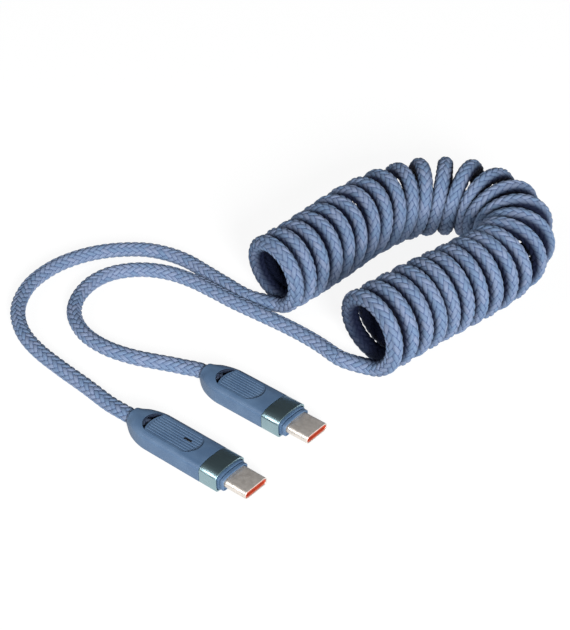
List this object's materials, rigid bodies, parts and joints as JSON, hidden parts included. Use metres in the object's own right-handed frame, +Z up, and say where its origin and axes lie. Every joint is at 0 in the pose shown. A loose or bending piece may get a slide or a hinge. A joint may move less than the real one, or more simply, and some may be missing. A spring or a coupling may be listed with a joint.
{
  "type": "coiled usb c cable",
  "caption": "Coiled charging cable: a braided cord wound into a spring coil bent into a U, with straight leads to a flat reversible plug on each end.",
  "frame": {"origin": "on the table, halfway between the two plugs and at the middle of the long plug's length", "axes": "+X the way the plugs point, +Y towards the coil, +Z up from the table"},
  "size_m": [0.1165, 0.1441, 0.0238],
  "materials": {
    "braided_cord": "braided nylon sleeve, blue-lavender, matte",
    "soft_touch_plastic": "soft-touch moulded, slate blue",
    "teal_lacquered_metal": "dark teal gloss lacquer over metal",
    "nickel_plate": "satin nickel plate",
    "orange_insulator": "moulded, orange-red",
    "smoked_lens": "smoked lens"
  },
  "bodies": {
    "root": {"coil": "braided_cord", "long_plug_lead": "braided_cord", "short_plug_lead": "braided_cord", "long_plug_grip": "soft_touch_plastic", "short_plug_grip": "soft_touch_plastic", "long_plug_band": "teal_lacquered_metal", "short_plug_band": "teal_lacquered_metal", "long_plug_shell": "nickel_plate", "short_plug_shell": "nickel_plate", "long_plug_liner": "orange_insulator", "short_plug_liner": "orange_insulator", "long_plug_lamp": "smoked_lens"}
  },
  "joints": []
}
